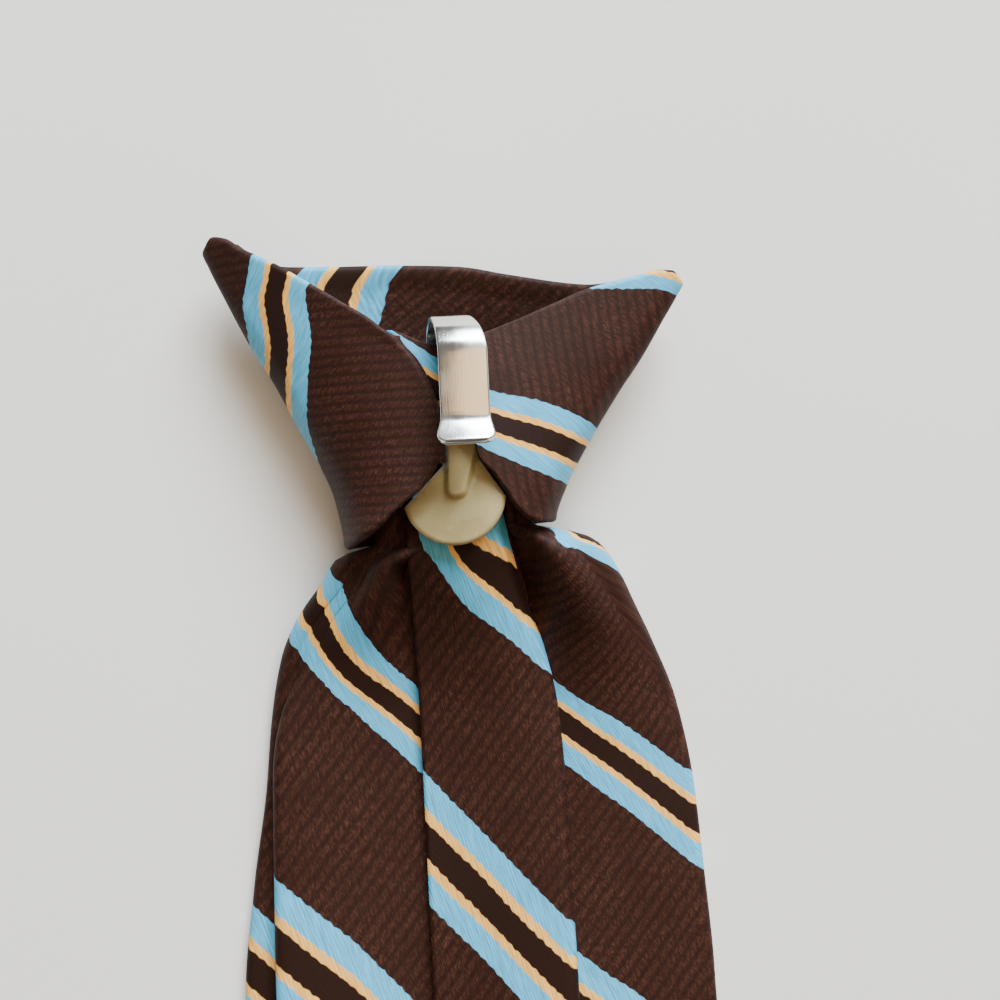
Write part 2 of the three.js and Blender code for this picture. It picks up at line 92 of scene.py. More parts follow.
FAN_LEFT = (-6.1, 3.7)
FAN_BOTTOM = (0.1, -1.1)
FAN_RIGHT = (6.4, 4.6)
FAN_NECK_LEFT = (-0.8, 9.1)
FAN_NECK_RIGHT = (3.4, 9.1)
FAN_TOP = 13.9
FAN_SLOPE = 0.2
PLATE_THICK = 1.8
PLATE_ROUND = 0.7
PLATE_END_Y = 12.2
TONGUE_HEIGHT = 1.0
TONGUE_END = (0.45, 5.7, 1.35)
TONGUE_ROOT = (1.4, 11.2, 2.2)
FORMER_MIDDLE = (1.0, 6.5)
BAR_WIDTH = 4.2
BAR_TOP_Y = 21.5
BAR_TOP = 11.6

# The stripes' repeat across the cloth, and how far from a group's middle each colour begins
REPEAT = 32.4
CREAM_START = 1.65
BLUE_START = 2.73
BLUE_END = 5.75
# Ribs of the weave: their pitch, and what they measure to the right and up on the back of the blade
RIB = 1.47
RIB_LEAN = (0.8, -0.6)
# How fast the place across the repeat changes along the cloth's length round the blade's folds, and how
# much further on it is beyond the pleat
FOLD_LEAN = 0.68
PLEAT_SHIFT = 5.0

# The shoulders of the blade: at is a share of SHOULDER_LENGTH below the neck; left, right, crease and
# strip are shares of SHOULDER_HALF, and lift to crown_r shares of BUNDLE_HEIGHT
SHOULDERS = {
    "at": [-0.15, -0.012, 0.018, 0.044, 0.1, 0.17, 0.25, 0.38, 0.55, 0.75, 1],
    "left": [-0.318, -0.345, -0.352, -0.506, -0.588, -0.695, -0.772, -0.83, -0.873, -0.942, -1],
    "right": [0.31, 0.308, 0.53, 0.6, 0.667, 0.727, 0.795, 0.886, 0.945, 0.974, 1],
    "crease": [0.146, 0.192, 0.201, 0.214, 0.237, 0.273, 0.321, 0.354, 0.364, 0.369, 0.377],
    "strip": [0.09, 0.09, 0.09, 0.09, 0.07, 0.05, 0.02, 0.015, 0.045, 0.1, 0.146],
    "pleat": [0, 0, 0, 0, 0, 0, 0, 0.6, 1, 1, 1],
    "creased": [0, 0, 0, 0, 0, 0.1, 0.4, 0.8, 1, 1, 1],
    "lift": [0.21, 0.21, 0.21, 0.17, 0.12, 0.06, 0.02, 0, 0, 0, 0],
    "curl": [0.12, 0.18, 0.16, 0.12, 0.08, 0.05, 0.03, 0.01, 0, 0, 0],
    "fold_l": [0.3, 0.46, 0.48, 0.5, 0.46, 0.36, 0.26, 0.17, 0.135, 0.135, 0.135],
    "fold_r": [0.4, 0.44, 0.54, 0.62, 0.58, 0.46, 0.32, 0.2, 0.15, 0.135, 0.135],
    "seam": [0.6, 0.84, 0.86, 0.84, 0.72, 0.58, 0.45, 0.33, 0.28, 0.27, 0.27],
    "valley": [0.34, 0.42, 0.42, 0.4, 0.34, 0.28, 0.22, 0.16, 0.135, 0.135, 0.135],
    "crown_l": [0.05, 0.1, 0.16, 0.22, 0.24, 0.2, 0.14, 0.07, 0.03, 0, 0],
    "crown_m": [0.04, 0.04, 0.06, 0.14, 0.14, 0.1, 0.07, 0.03, 0.01, 0, 0],
    "crown_r": [0.08, 0.2, 0.26, 0.32, 0.34, 0.3, 0.22, 0.12, 0.05, 0.02, 0],
}
# What the tip keeps of the pleats, the steps between panels and the seam's overlap, from its start (0) to
# its end (1)
TIP_FOLDS = {
    "at": [0, 0.35, 0.8, 1],
    "pleat": [1, 0, 0, 0],
    "step": [1, 1, 0.1, 0],
    "overlap": [1, 0.7, 0.1, 0],
}

# The knot's outer folds from the neck (0) to the ears (1), as shares of half of KNOT_WIDTH
KNOT_SIDES = {
    "at": [0, 0.165, 0.283, 0.4, 0.552, 0.686, 0.838, 0.945, 1],
    "left": [-0.472, -0.503, -0.56, -0.638, -0.732, -0.829, -0.923, -0.985, -1.01],
    "right": [0.419, 0.474, 0.54, 0.612, 0.713, 0.81, 0.905, 0.972, 1],
}
# The front's height from the neck to the ears, as a share of FOLD_HEIGHT
KNOT_FRONT = {
    "at": [0, 0.15, 0.4, 0.7, 0.9, 1],
    "z": [0.12, 0.085, 0.0774, 0.1, 0.27, 0.4],
}
# How far the front's rim dips from the left fold to the right one, as a share of KNOT_HEIGHT
RIM = {
    "at": [0, 0.027, 0.055, 0.09, 0.138, 0.253, 0.393, 0.536, 0.642, 0.807, 0.91, 0.96, 1],
    "dip": [0, -0.04, -0.036, 0, 0.025, 0.011, -0.01, -0.02, -0.003, 0.018, -0.01, -0.024, 0],
}
# The wings' edges from the outer fold (0) to the wing's end (1), as shares of KNOT_HEIGHT, and the ends' x
# from the mouth (0) to the ears (1), as shares of half of KNOT_WIDTH
LEFT_WING = {
    "at": [0, 0.05, 0.12, 0.205, 0.358, 0.54, 0.711, 0.825, 1],
    "top": [0.968, 0.998, 0.988, 0.95, 0.897, 0.823, 0.75, 0.703, 0.629],
    "bottom": [-0.031, -0.027, -0.02, -0.011, 0.005, 0.027, 0.055, 0.077, 0.101],
}
RIGHT_WING = {
    "at": [0, 0.03, 0.08, 0.144, 0.324, 0.433, 0.548, 0.662, 0.7, 0.842, 1],
    "top": [0.797, 0.822, 0.823, 0.808, 0.766, 0.725, 0.681, 0.641, 0.63, 0.603, 0.655],
    "bottom": [0.027, 0.0275, 0.0285, 0.03, 0.075, 0.135, 0.195, 0.239, 0.29, 0.35, 0.385],
}
LEFT_END = {
    "at": [0, 0.095, 0.19, 0.27, 0.35, 0.55, 0.78, 0.86, 1],
    "x": [-0.203, -0.124, -0.07, -0.044, -0.02, -0.034, -0.084, -0.114, -0.178],
}
RIGHT_END = {"at": [0, 1], "x": [-0.034, -0.235]}

# Where the edges of the stripes run on each panel, in millimetres, measured on the photograph and by a colour
# test down its columns. Each row is one edge, by its place across the repeat, and gives the edge's y at the x
# of each column
LEFT_CHART = {
    "x": [-30, -21.8, -19.5, -18, -16.6, -15, -13, -10, -7],
    "edge": [5.7, 2.73, 1.65, -1.65, -2.73, -5.7, -26.7, -38.1],
    "y": [
        [26, 14, 8, 4, 0, -4.4, -10.2, -15.8, -18.9],
        [16, 5, 0, -4, -8.1, -11.8, -15.2, -18, -21],
        [13, 2, -3, -6.6, -10.6, -14.2, -16.9, -19.6, -22.5],
        [7, -5, -10.4, -13.6, -15.9, -17.9, -19.8, -22.7, -25.5],
        [4, -7.5, -12.4, -15.1, -17.1, -19, -20.9, -23.7, -26.7],
        [-2, -13.1, -16.3, -18, -19.8, -21.3, -23.7, -26.8, -30],
        [-38.5, -46.5, -48.7, -50.1, -51.4, -53.2, -55.6, -59, -62.5],
        [-56, -64, -66.2, -67.6, -68.9, -70.8, -73.1, -76.5, -80],
    ],
    "beyond": 0.653,
}
MIDDLE_CHART = {
    "x": [-6, -4.2, -3, 0.6, 5.7, 10.8],
    "edge": [1.65, -1.65, -2.73, -5.7, -26.7, -29.67, -30.75, -34.05, -35.13, -38.1],
    "y": [
        [26, 20, 18, 0, -3.5, -10],
        [18, 4.5, 3, -3.2, -8.3, -14],
        [16, 3.5, 2, -4.3, -9.3, -15],
        [12, -1, -2.6, -8.6, -13.2, -18.5],
        [-30.3, -32.3, -33.7, -37.6, -43.4, -49.1],
        [-35, -37, -38.3, -42.1, -47.8, -53.6],
        [-36.9, -38.8, -40.1, -43.8, -49.8, -55.1],
        [-41.6, -43.6, -45, -48.8, -54.5, -60],
        [-43.6, -45.5, -46.8, -50.5, -56.3, -62],
        [-47.7, -49.6, -50.9, -54.6, -60.6, -66.3],
    ],
    "beyond": 0.666,
}
RIGHT_CHART = {
    "x": [8, 11, 12.7, 14.5, 16.9, 19.4, 28.4],
    "edge": [30.75, 29.67, 26.7, 5.7, 2.73, 1.65, -1.65, -2.73, -5.7, -26.7],
    "y": [
        [9, 4.5, 2.4, 1.6, 1.6, 0.4, -7],
        [8, 3.0, -0.4, -1.0, -0.7, -2.2, -9],
        [7, 1.4, -2.0, -2.4, -2.5, -4.0, -11],
        [-16.5, -18.9, -20.3, -21.8, -23.4, -25, -32.4],
        [-18.9, -21.2, -22.5, -23.9, -25.9, -27.6, -35.2],
        [-19.5, -22, -23.4, -24.8, -26.8, -28.8, -36.4],
        [-22.8, -25.3, -26.7, -28.1, -30, -32, -39.9],
        [-23.8, -26.3, -27.7, -29.1, -31, -33, -41.2],
        [-26.5, -29.2, -30.6, -32.1, -34.2, -36.1, -44.3],
        [-51.2, -53.7, -55, -56.4, -58.4, -60.1, -68],
    ],
    "beyond": 0.777,
}
# Left wing: x of the line 5.7 mm left of a group's middle, at each height
LEFT_WING_LINE = {
    "y": [7.9, 11.4, 15.1, 20.1, 25, 29.9, 32.1],
    "x": [-15.7, -16.5, -17.1, -16.7, -16.0, -16.4, -15.8],
}
RIGHT_WING_CHART = {
    "x": [-3.7, 0, 5, 10.8, 15.7, 18.3, 25.5, 29.2],
    "edge": [29.67, 26.7, 5.7, -5.7],
    "y": [
        [42, 39, 36, 34, 32.6, 32.0, 31.0, 30.2],
        [40, 37, 34, 32, 30.6, 29.4, 29.4, 28.8],
        [23.2, 20.6, 17.3, 15.9, 13.9, 12.5, 9.6, 8.6],
        [15.6, 13.0, 9.9, 7.2, 5.1, 4.2, 2.0, 1.0],
    ],
    "beyond": 1.3,
}
# Inside of the front, seen through the top: x of the group's middle line at each height
FRONT_LINE = {
    "y": [30.5, 32.6, 34.7, 37],
    "x": [-14.6, -13.9, -12.2, -9.4],
}


def mix(a, b, share):
    """The value that lies share of the way from a to b."""
    return a + (b - a) * share


def smooth(share):
    """An eased step: 0 up to share 0, 1 from share 1, level at both."""
    share = np.clip(share, 0, 1)
    return share * share * (3 - 2 * share)


def curve(at, values, x, free=False):
    """Cubic pieces through the points (at, values). A point's slope is the harmonic mean of the chords
    beside it, 0 where they turn. The ends are level, or with free on they run on along the last chords."""
    at = np.asarray(at, float)
    values = np.asarray(values, float)
    chord = np.diff(values) / np.diff(at)
    slope = np.zeros(len(at))
    product = chord[:-1] * chord[1:]
    total = np.where(product > 0, chord[:-1] + chord[1:], 1)
    slope[1:-1] = np.where(product > 0, 2 * product / total, 0)
    if free:
        slope[0], slope[-1] = chord[0], chord[-1]
    x = np.asarray(x, float)
    inside = np.clip(x, at[0], at[-1])
    row = np.clip(np.searchsorted(at, inside, side="right") - 1, 0, len(at) - 2)
    span = at[row + 1] - at[row]
    share = (inside - at[row]) / span
    bend = span * share * (1 - share)
    y = mix(values[row], values[row + 1], smooth(share))
    y = y + bend * ((1 - share) * slope[row] - share * slope[row + 1])
    if free:
        y = y + np.minimum(x - at[0], 0) * slope[0] + np.maximum(x - at[-1], 0) * slope[-1]
    return y


def column(table, name, at):
    """One line of a table, looked up at the places at."""
    return curve(table["at"], table[name], at)


def phase(chart, x, y):
    """Place across the stripes' repeat of each point (x, y): straight in y between the chart's edges, and
    with the slope that the chart calls beyond outside them."""
    lines = [curve(chart["x"], row, x, free=True) for row in chart["y"]]
    edges = chart["edge"]
    p = edges[-1] + chart["beyond"] * np.minimum(y - lines[-1], 0)
    for k in range(len(edges) - 1):
        share = np.clip((y - lines[k + 1]) / np.maximum(lines[k] - lines[k + 1], 0.1), 0, 1)
        p = p + share * (edges[k] - edges[k + 1])
    return p + chart["beyond"] * np.maximum(y - lines[0], 0)


def length_across(points):
    """How far along its row each point of a grid lies from the row's first point."""
    length = np.zeros(points.shape[:2])
    length[:, 1:] = np.cumsum(np.linalg.norm(np.diff(points, axis=1), axis=2), 1)
    return length


def arc(x, z, radius, start, end, count):
    """Points on part of a circle round (x, z) in a section, angles in degrees from +x towards +z."""
    angle = np.radians(np.linspace(start, end, count))
    return np.stack(np.broadcast_arrays(x + radius * np.cos(angle), z + radius * np.sin(angle)), -1)


def place(points):
    """Millimetres on the tie to metres in the row's frame."""
    return (points + np.array([0, NECK_Y, 0])) * MM


def add_mesh(name, points, quads, uv=None, ends=()):
    """A smooth-shaded mesh from an array of points in millimetres and an array of quads."""
    mesh = bpy.data.meshes.new(name)
    faces = np.asarray(quads, np.int64).reshape(-1, 4)
    loops = np.concatenate([faces.ravel(), *[np.asarray(end, np.int64) for end in ends]])
    sizes = np.concatenate([np.full(len(faces), 4), np.array([len(end) for end in ends], np.int64)])
    mesh.vertices.add(len(points))
    mesh.vertices.foreach_set("co", place(points).astype(np.float32).ravel())
    mesh.loops.add(len(loops))
    mesh.loops.foreach_set("vertex_index", loops.astype(np.int32))
    mesh.polygons.add(len(sizes))
    starts = np.concatenate([[0], np.cumsum(sizes)[:-1]])
    mesh.polygons.foreach_set("loop_start", starts.astype(np.int32))
    mesh.polygons.foreach_set("use_smooth", np.ones(len(sizes), bool))
    if uv is not None:
        layer = mesh.uv_layers.new(name="pattern")
        layer.data.foreach_set("uv", (np.asarray(uv) * MM).astype(np.float32).ravel())
    mesh.update(calc_edges=True)
    mesh.validate()
    piece = bpy.data.objects.new(name, mesh)
    bpy.context.scene.collection.objects.link(piece)
    return piece


def sheet_normals(points):
    """Unit normals of a grid: the sum of the unit steps to both neighbours across, crossed with the step
    down between the neighbours above and below."""
    step = np.diff(points, axis=1)
    step = step / np.maximum(np.linalg.norm(step, axis=2, keepdims=True), 1e-9)
    across = np.zeros_like(points)
    across[:, 1:] += step
    across[:, :-1] += step
    down = np.empty_like(points)
    down[1:-1] = points[2:] - points[:-2]
    down[0] = points[1] - points[0]
    down[-1] = points[-1] - points[-2]
    normal = np.cross(across, down)
    return normal / np.maximum(np.linalg.norm(normal, axis=2, keepdims=True), 1e-9)


def thick_sheet(name, points, half, patterns, panel):
    """A closed sheet of cloth: the grid of points moved by half along its normals to both sides, stitched
    round its edge. patterns holds one grid of (across, along) per panel, and panel names the one that
    each step across uses."""
    rows, columns = points.shape[:2]
    normal = sheet_normals(points)
    offset = normal * half[..., None]
    both = np.concatenate([(points + offset).reshape(-1, 3), (points - offset).reshape(-1, 3)])
    index = np.arange(rows * columns).reshape(rows, columns)
    a, b = index[:-1, :-1], index[:-1, 1:]
    c, d = index[1:, 1:], index[1:, :-1]
    back = rows * columns
    top = np.stack([a, b, c, d], -1).reshape(-1, 4)
    bottom = np.stack([a, d, c, b], -1).reshape(-1, 4) + back
    first, last = index[:, 0], index[:, -1]
    left = np.stack([first[:-1], first[1:], first[1:] + back, first[:-1] + back], -1)
    right = np.stack([last[:-1], last[:-1] + back, last[1:] + back, last[1:]], -1)
    high, low = index[0], index[-1]
    upper = np.stack([high[:-1], high[:-1] + back, high[1:] + back, high[1:]], -1)
    lower = np.stack([low[:-1], low[1:], low[1:] + back, low[:-1] + back], -1)
    quads = np.concatenate([top, bottom, left, right, upper, lower])
    steps = np.arange(columns - 1)
    step_of = np.concatenate([
        np.tile(steps, rows - 1),
        np.tile(steps, rows - 1),
        np.zeros(rows - 1, int),
        np.full(rows - 1, columns - 2),
        steps,
        steps,
    ])
    flat = np.asarray(patterns).reshape(len(patterns), rows * columns, 2)
    uv = flat[np.asarray(panel)[step_of][:, None], quads % back]
    return add_mesh(name, both, quads, uv.reshape(-1, 2))


def edge_round(distance, half):
    """Half thickness near a free edge: a quarter circle over the first half of a thickness."""
    share = np.clip(distance / half, 0, 1)
    return half * np.sqrt(np.maximum(1 - (1 - share) ** 2, 0.01))


def blade_half_width(below):
    """From SHOULDER_HALF a straight taper to half of BLADE_WIDTH, then another to the tip."""
    widest = BLADE_LENGTH - TIP_LENGTH
    grown = np.clip((below - SHOULDER_LENGTH) / (widest - SHOULDER_LENGTH), 0, 1)
    body = mix(SHOULDER_HALF, BLADE_WIDTH / 2, grown)
    closing = np.clip((below - widest) / TIP_LENGTH, 0, 1)
    return mix(body, TIP_HALF, closing)


def run(start, end, crown, count):
    """A panel from start to end: straight across, with an eased height and a crown of half a sine."""
    share = np.linspace(0, 1, count)
    x = mix(start[..., 0:1], end[..., 0:1], share)
    z = mix(start[..., 1:2], end[..., 1:2], smooth(share)) + crown * np.sin(share * math.pi)
    return np.stack([x, z], -1)


def blade_lines(below):
    """The folded cloth's middle line at each distance below the neck, as the CAD blade has it: the left
    flap, its pleat, the strip beside it, the outer fold, the front, the other fold, the right panel, the
    crease and the middle panel that ends in the seam. Gives (x, z) and the number of points per part."""
    at = below / SHOULDER_LENGTH
    tip = (below - BLADE_LENGTH + TIP_LENGTH) / TIP_LENGTH
    half = blade_half_width(below)
    tall = lambda name: column(SHOULDERS, name, at) * BUNDLE_HEIGHT
    wide = lambda name: column(SHOULDERS, name, at) * half
    keep = column(TIP_FOLDS, "pleat", tip)
    pleat = column(SHOULDERS, "pleat", at) * keep
    creased = column(SHOULDERS, "creased", at) * keep
    flat = column(TIP_FOLDS, "step", tip)
    pitch = CLOTH + LAYER_GAP
    step = 2 * pitch * flat

    front = tall("lift") + CLOTH / 2
    edge = front + tall("curl")
    radius_l = tall("fold_l") / 2
    radius_r = tall("fold_r") / 2
    fold_l = wide("left") + radius_l + CLOTH / 2
    fold_r = wide("right") - radius_r - CLOTH / 2
    top_l = edge + 2 * radius_l
    top_r = edge + 2 * radius_r
    seam_x = SEAM_SHARE * half
    seam_z = front + mix(2 * pitch, tall("seam"), flat)
    hidden_x = seam_x + SEAM_OVERLAP * column(TIP_FOLDS, "overlap", tip)
    hidden_z = seam_z - pitch
    valley = front + tall("valley")
    turn = pitch / 2
    round_off = np.minimum(SHOULDER_ROUND, half * 0.1)

    c = lambda value: np.asarray(value)[:, None]
    turns = 7
    fold_share = np.linspace(0, 1, 2 * turns)
    pleat_x = wide("left") + wide("strip") + turn + CLOTH / 2
    folded = np.concatenate([
        arc(c(pleat_x), c(top_l + 3 * turn), turn, 90, 270, turns),
        arc(c(pleat_x + PLEAT_DEPTH), c(top_l + turn), turn, 90, -90, turns),
    ], 1)
    unfolded = np.stack([
        c(fold_l) + c(round_off) * (1 - 0.93 * fold_share),
        c(top_l) + OPEN_RISE * c(step) * smooth(1 - fold_share),
    ], -1)
    left_pleat = mix(unfolded, folded, pleat[:, None, None])
    crease_x = wide("crease")
    tucked = np.concatenate([
        arc(c(crease_x - CREASE_DEPTH), c(valley + turn), turn, 270, 90, turns),
        arc(c(crease_x), c(valley + 3 * turn), turn, -90, 90, turns),
    ], 1)
    opened = np.stack([
        c(crease_x) + c(round_off) * (0.35 - 0.7 * fold_share),
        c(valley) + c(step) * fold_share ** 1.6,
    ], -1)
    right_crease = mix(opened, tucked, creased[:, None, None])

    pair = lambda x, z: np.stack([x, z], -1)
    start, end = pair(hidden_x, hidden_z), left_pleat[:, 0]
    share = np.minimum((hidden_x - seam_x + SEAM_COVER) / (hidden_x - end[:, 0]), LONGEST_COVER)
    under = pair(mix(hidden_x, end[:, 0], share), hidden_z)
    left_panel = np.concatenate([
        run(start, under, 0, 7)[:, :-1],
        run(under, end, c(tall("crown_l")), 29)[:, :-1],
    ], 1)
    strip = run(left_pleat[:, -1], pair(fold_l, top_l), 0, 9)[:, 1:-1]
    left_fold = arc(c(fold_l), c(edge + radius_l), c(radius_l), 90, 270, 9)
    across = np.linspace(0, 1, 41)[1:-1]
    front_panel = np.stack([
        mix(c(fold_l), c(fold_r), across),
        mix(c(front), c(edge), np.abs(2 * across - 1) ** 2.2),
    ], -1)
    right_fold = arc(c(fold_r), c(edge + radius_r), c(radius_r), -90, 90, 9)
    right_panel = run(pair(fold_r, top_r), right_crease[:, 0], c(tall("crown_r")), 33)[:, 1:-1]
    middle = run(right_crease[:, -1], pair(seam_x, seam_z), c(tall("crown_m")), 29)[:, 1:]
    parts = [left_panel, left_pleat, strip, left_fold, front_panel, right_fold, right_panel,
             right_crease, middle]
    return np.concatenate(parts, 1), [part.shape[1] for part in parts]


def blade_rows():
    """Distances below the neck: close together on the shoulders, wide on the straight and closer again at
    the tip."""
    shoulder = np.linspace(-9, 62, 90)[:-1]
    straight = np.linspace(62, BLADE_LENGTH - TIP_LENGTH, 84)[:-1]
    tip = np.linspace(BLADE_LENGTH - TIP_LENGTH, BLADE_LENGTH, 30)
    return np.concatenate([shoulder, straight, tip])


def blade_pattern(points, counts):
    """Stripe coordinates for the blade: (across, along) for four panels, and the panel of each step. On
    the back they follow the charts, round the front they change evenly with the cloth's length."""
    x, y, z = points[..., 0], points[..., 1], points[..., 2]
    length = length_across(points)
    ends = np.cumsum(counts)
    flap_end, pleat_end = ends[0], ends[1]
    pleat_mid = flap_end + counts[1] // 2
    strip_end = ends[2]
    fold_end = ends[5]
    right_end = ends[6]
    crease_mid = right_end + counts[7] // 2
    crease_end = ends[7]
    along = RIB_LEAN[0] * x + RIB_LEAN[1] * y

    at = -y[:, :1] / SHOULDER_LENGTH
    pleated = smooth((column(SHOULDERS, "pleat", at) - 0.3) / 0.7)
    creased = column(SHOULDERS, "creased", at)

    def held(chart, shift, folded, first, last):
        """A chart's value on the panel's columns. Outside them it is carried on along the cloth's length
        where the cloth is folded, and taken from the chart where it lies open."""
        columns = np.clip(np.arange(x.shape[1]), first, last)
        value = phase(chart, x[:, columns], y[:, columns]) - FOLD_LEAN * (length - length[:, columns])
        return mix(phase(chart, x, y), value, folded) + shift

    left = held(LEFT_CHART, 0, pleated, 0, flap_end)
    strip = held(LEFT_CHART, PLEAT_SHIFT * pleated, pleated, pleat_end - 1, strip_end)
    right = held(RIGHT_CHART, -2 * REPEAT, creased, fold_end - 1, right_end)
    middle = held(MIDDLE_CHART, 0, creased, crease_end - 1, x.shape[1] - 1)
    a, b = strip_end, fold_end - 1
    share = (length - length[:, a:a + 1]) / (length[:, b:b + 1] - length[:, a:a + 1])
    around = mix(strip[:, a:a + 1], right[:, b:b + 1], share)
    front = np.where(np.arange(x.shape[1]) <= a, strip, around)
    along_front = np.where(
        np.arange(x.shape[1]) <= a, along, along[:, a:a + 1] - RIB_LEAN[0] * (length - length[:, a:a + 1])
    )
    grids = [(left, along + 0.5 * z), (front, along_front), (right, along - 0.5 * z), (middle, along)]
    patterns = np.stack([np.stack(grid, -1) for grid in grids])
    step = np.arange(x.shape[1] - 1)
    panel = np.select([step < pleat_mid, step < fold_end - 1, step < crease_mid], [0, 1, 2], 3)
    return patterns, panel


def make_blade():
    """One closed sheet, made of the folded section at every row down the blade."""
    below = blade_rows()
    section, counts = blade_lines(below)
    y = np.broadcast_to(-below[:, None], section.shape[:2])
    points = np.stack([section[..., 0], y, section[..., 1]], -1)
    patterns, panel = blade_pattern(points, counts)
    half = np.full(y.shape, CLOTH / 2)
    return thick_sheet("striped_blade", points, half, patterns, panel)


def knot_lines(up):
    """The knot's cloth at each share of the way from the mouth to the ears, as the CAD knot has it: left
    wing from its end to the outer fold, front, right wing. Gives points (x, y, z) and the parts' sizes."""
    c = lambda value: np.asarray(value)[:, None]
    inset = KNOT_CLOTH / 2
    half = KNOT_WIDTH / 2
    radius = c(mix(NECK_RADIUS, EAR_RADIUS, smooth(up)))
    left = c(column(KNOT_SIDES, "left", up)) * half + inset
    right = c(column(KNOT_SIDES, "right", up)) * half - inset
    low = c(column(KNOT_FRONT, "z", up)) * FOLD_HEIGHT
    rise_power = mix(3, 1.5, c(up))
    end_l = c(column(LEFT_END, "x", up)) * half
    end_r = c(column(RIGHT_END, "x", up)) * half
    wing_top = KNOT_DEPTH - inset - FOLD_HEIGHT
    under = KNOT_CLOTH + WING_GAP

    def cap(inside):
        return radius * np.sqrt(1 - np.maximum(0, 1 - inside / radius) ** 2)

    def wing(table, end, fold, reach, share):
        x = mix(fold, end, share)
        y = mix(column(table, "bottom", share), column(table, "top", share), c(up)) * KNOT_HEIGHT
        rise = (reach - radius) * (1 - (1 - share) ** rise_power)
        return np.stack(np.broadcast_arrays(x, y, FOLD_HEIGHT + cap(np.abs(x - fold)) + rise), -1)

    turn = 1 - np.cos(np.linspace(0, 1, 8, endpoint=False) * math.pi / 2)
    shares_l = np.concatenate([
        radius * turn / (end_l - left),
        mix(radius / (end_l - left), 1, np.linspace(0, 1, 40)),
    ], 1)
    shares_r = np.concatenate([
        radius * turn / (right - end_r),
        mix(radius / (right - end_r), 1, np.linspace(0, 1, 50)),
    ], 1)
    wing_l = wing(LEFT_WING, end_l, left, wing_top, shares_l)[:, ::-1]
    wing_r = wing(RIGHT_WING, end_r, right, wing_top - under, shares_r)
    wing_r[..., 2] -= HIDDEN_DIP * shares_r ** 5

    span = right - left
    turned = radius * turn[1:] / span
    inner = mix(radius / span, 1 - radius / span, np.linspace(0, 1, 80))
    share = np.concatenate([turned, inner, 1 - turned[:, ::-1]], 1)
    x = mix(left, right, share)
    bottom = mix(LEFT_WING["bottom"][0], RIGHT_WING["bottom"][0], share) * KNOT_HEIGHT
    top = mix(LEFT_WING["top"][0], RIGHT_WING["top"][0], share) * KNOT_HEIGHT
    top = top - column(RIM, "dip", share) * KNOT_HEIGHT
    drop = FOLD_HEIGHT - radius - low
    belly = 1 - np.abs(2 * share - 1) ** 2.2
    z = FOLD_HEIGHT - cap(np.minimum(x - left, right - x)) - drop * belly
    front = np.stack([x, mix(bottom, top, c(up)), z], -1)
    parts = [wing_l, front, wing_r]
    return np.concatenate(parts, 1), [part.shape[1] for part in parts]


def knot_rows():
    """Shares from the ears down to the mouth, closer together at both rims."""
    edge = np.array([0, 0.08, 0.2, 0.36, 0.6]) / KNOT_HEIGHT
    inner = np.linspace(0.95 / KNOT_HEIGHT, 1 - 0.95 / KNOT_HEIGHT, 96)
    return np.concatenate([edge, inner, 1 - edge[::-1]])[::-1]


def knot_pattern(points, counts):
    """Stripe coordinates for the knot: on the left wing by the distance from one line along the stripes, on
    the right wing from its chart, on the front by the distance from the line that its top shows, eased into
    the wings' values at the outer folds."""
    x, y = points[..., 0], points[..., 1]
    length = length_across(points)
    a, b = counts[0] - 1, counts[0] + counts[1]
    line = curve(LEFT_WING_LINE["y"], LEFT_WING_LINE["x"], y, free=True)
    left = -5.7 + np.where(line > x, 1.4, 1.27) * (line - x)
    right = phase(RIGHT_WING_CHART, x, y)
    share = (length - length[:, a:a + 1]) / (length[:, b:b + 1] - length[:, a:a + 1])
    line = curve(FRONT_LINE["y"], FRONT_LINE["x"], y, free=True)
    front = 0.74 * (line - x) + np.clip(0.16 * (line - x), -1.1, 1.1)
    gap = (right - front)[:, b:b + 1]
    gap = gap - REPEAT * np.round(np.median(gap) / REPEAT)
    front = front + gap * smooth((share - 0.8) / 0.2)
    gap = (left - front)[:, a:a + 1]
    gap = gap - REPEAT * np.round(np.median(gap) / REPEAT)
    front = front + gap * smooth(1 - share / 0.12)
    columns = np.arange(x.shape[1])
    along_l = 1.3 * y
    along_r = 1.2 * x + 0.14 * y
    along_f = 0.7 * x - y
    grids = [(left, along_l), (front, along_f), (right, along_r)]
    patterns = np.stack([np.stack(np.broadcast_arrays(*grid), -1) for grid in grids])
    panel = np.select([columns[:-1] < a, columns[:-1] < b], [0, 1], 2)
    return patterns, panel


def make_knot():
    """One closed sheet, thinned to a round edge at its two rims and at the wings' ends."""
    up = knot_rows()
    points, counts = knot_lines(up)
    patterns, panel = knot_pattern(points, counts)
    half = KNOT_CLOTH / 2
    rows = np.minimum(up, 1 - up)[:, None] * KNOT_HEIGHT
    length = length_across(points)
    ends = np.minimum(length, length[:, -1:] - length)
    thick = np.minimum(edge_round(rows, half), edge_round(ends, half))
    return thick_sheet("striped_knot", points, thick, patterns, panel)


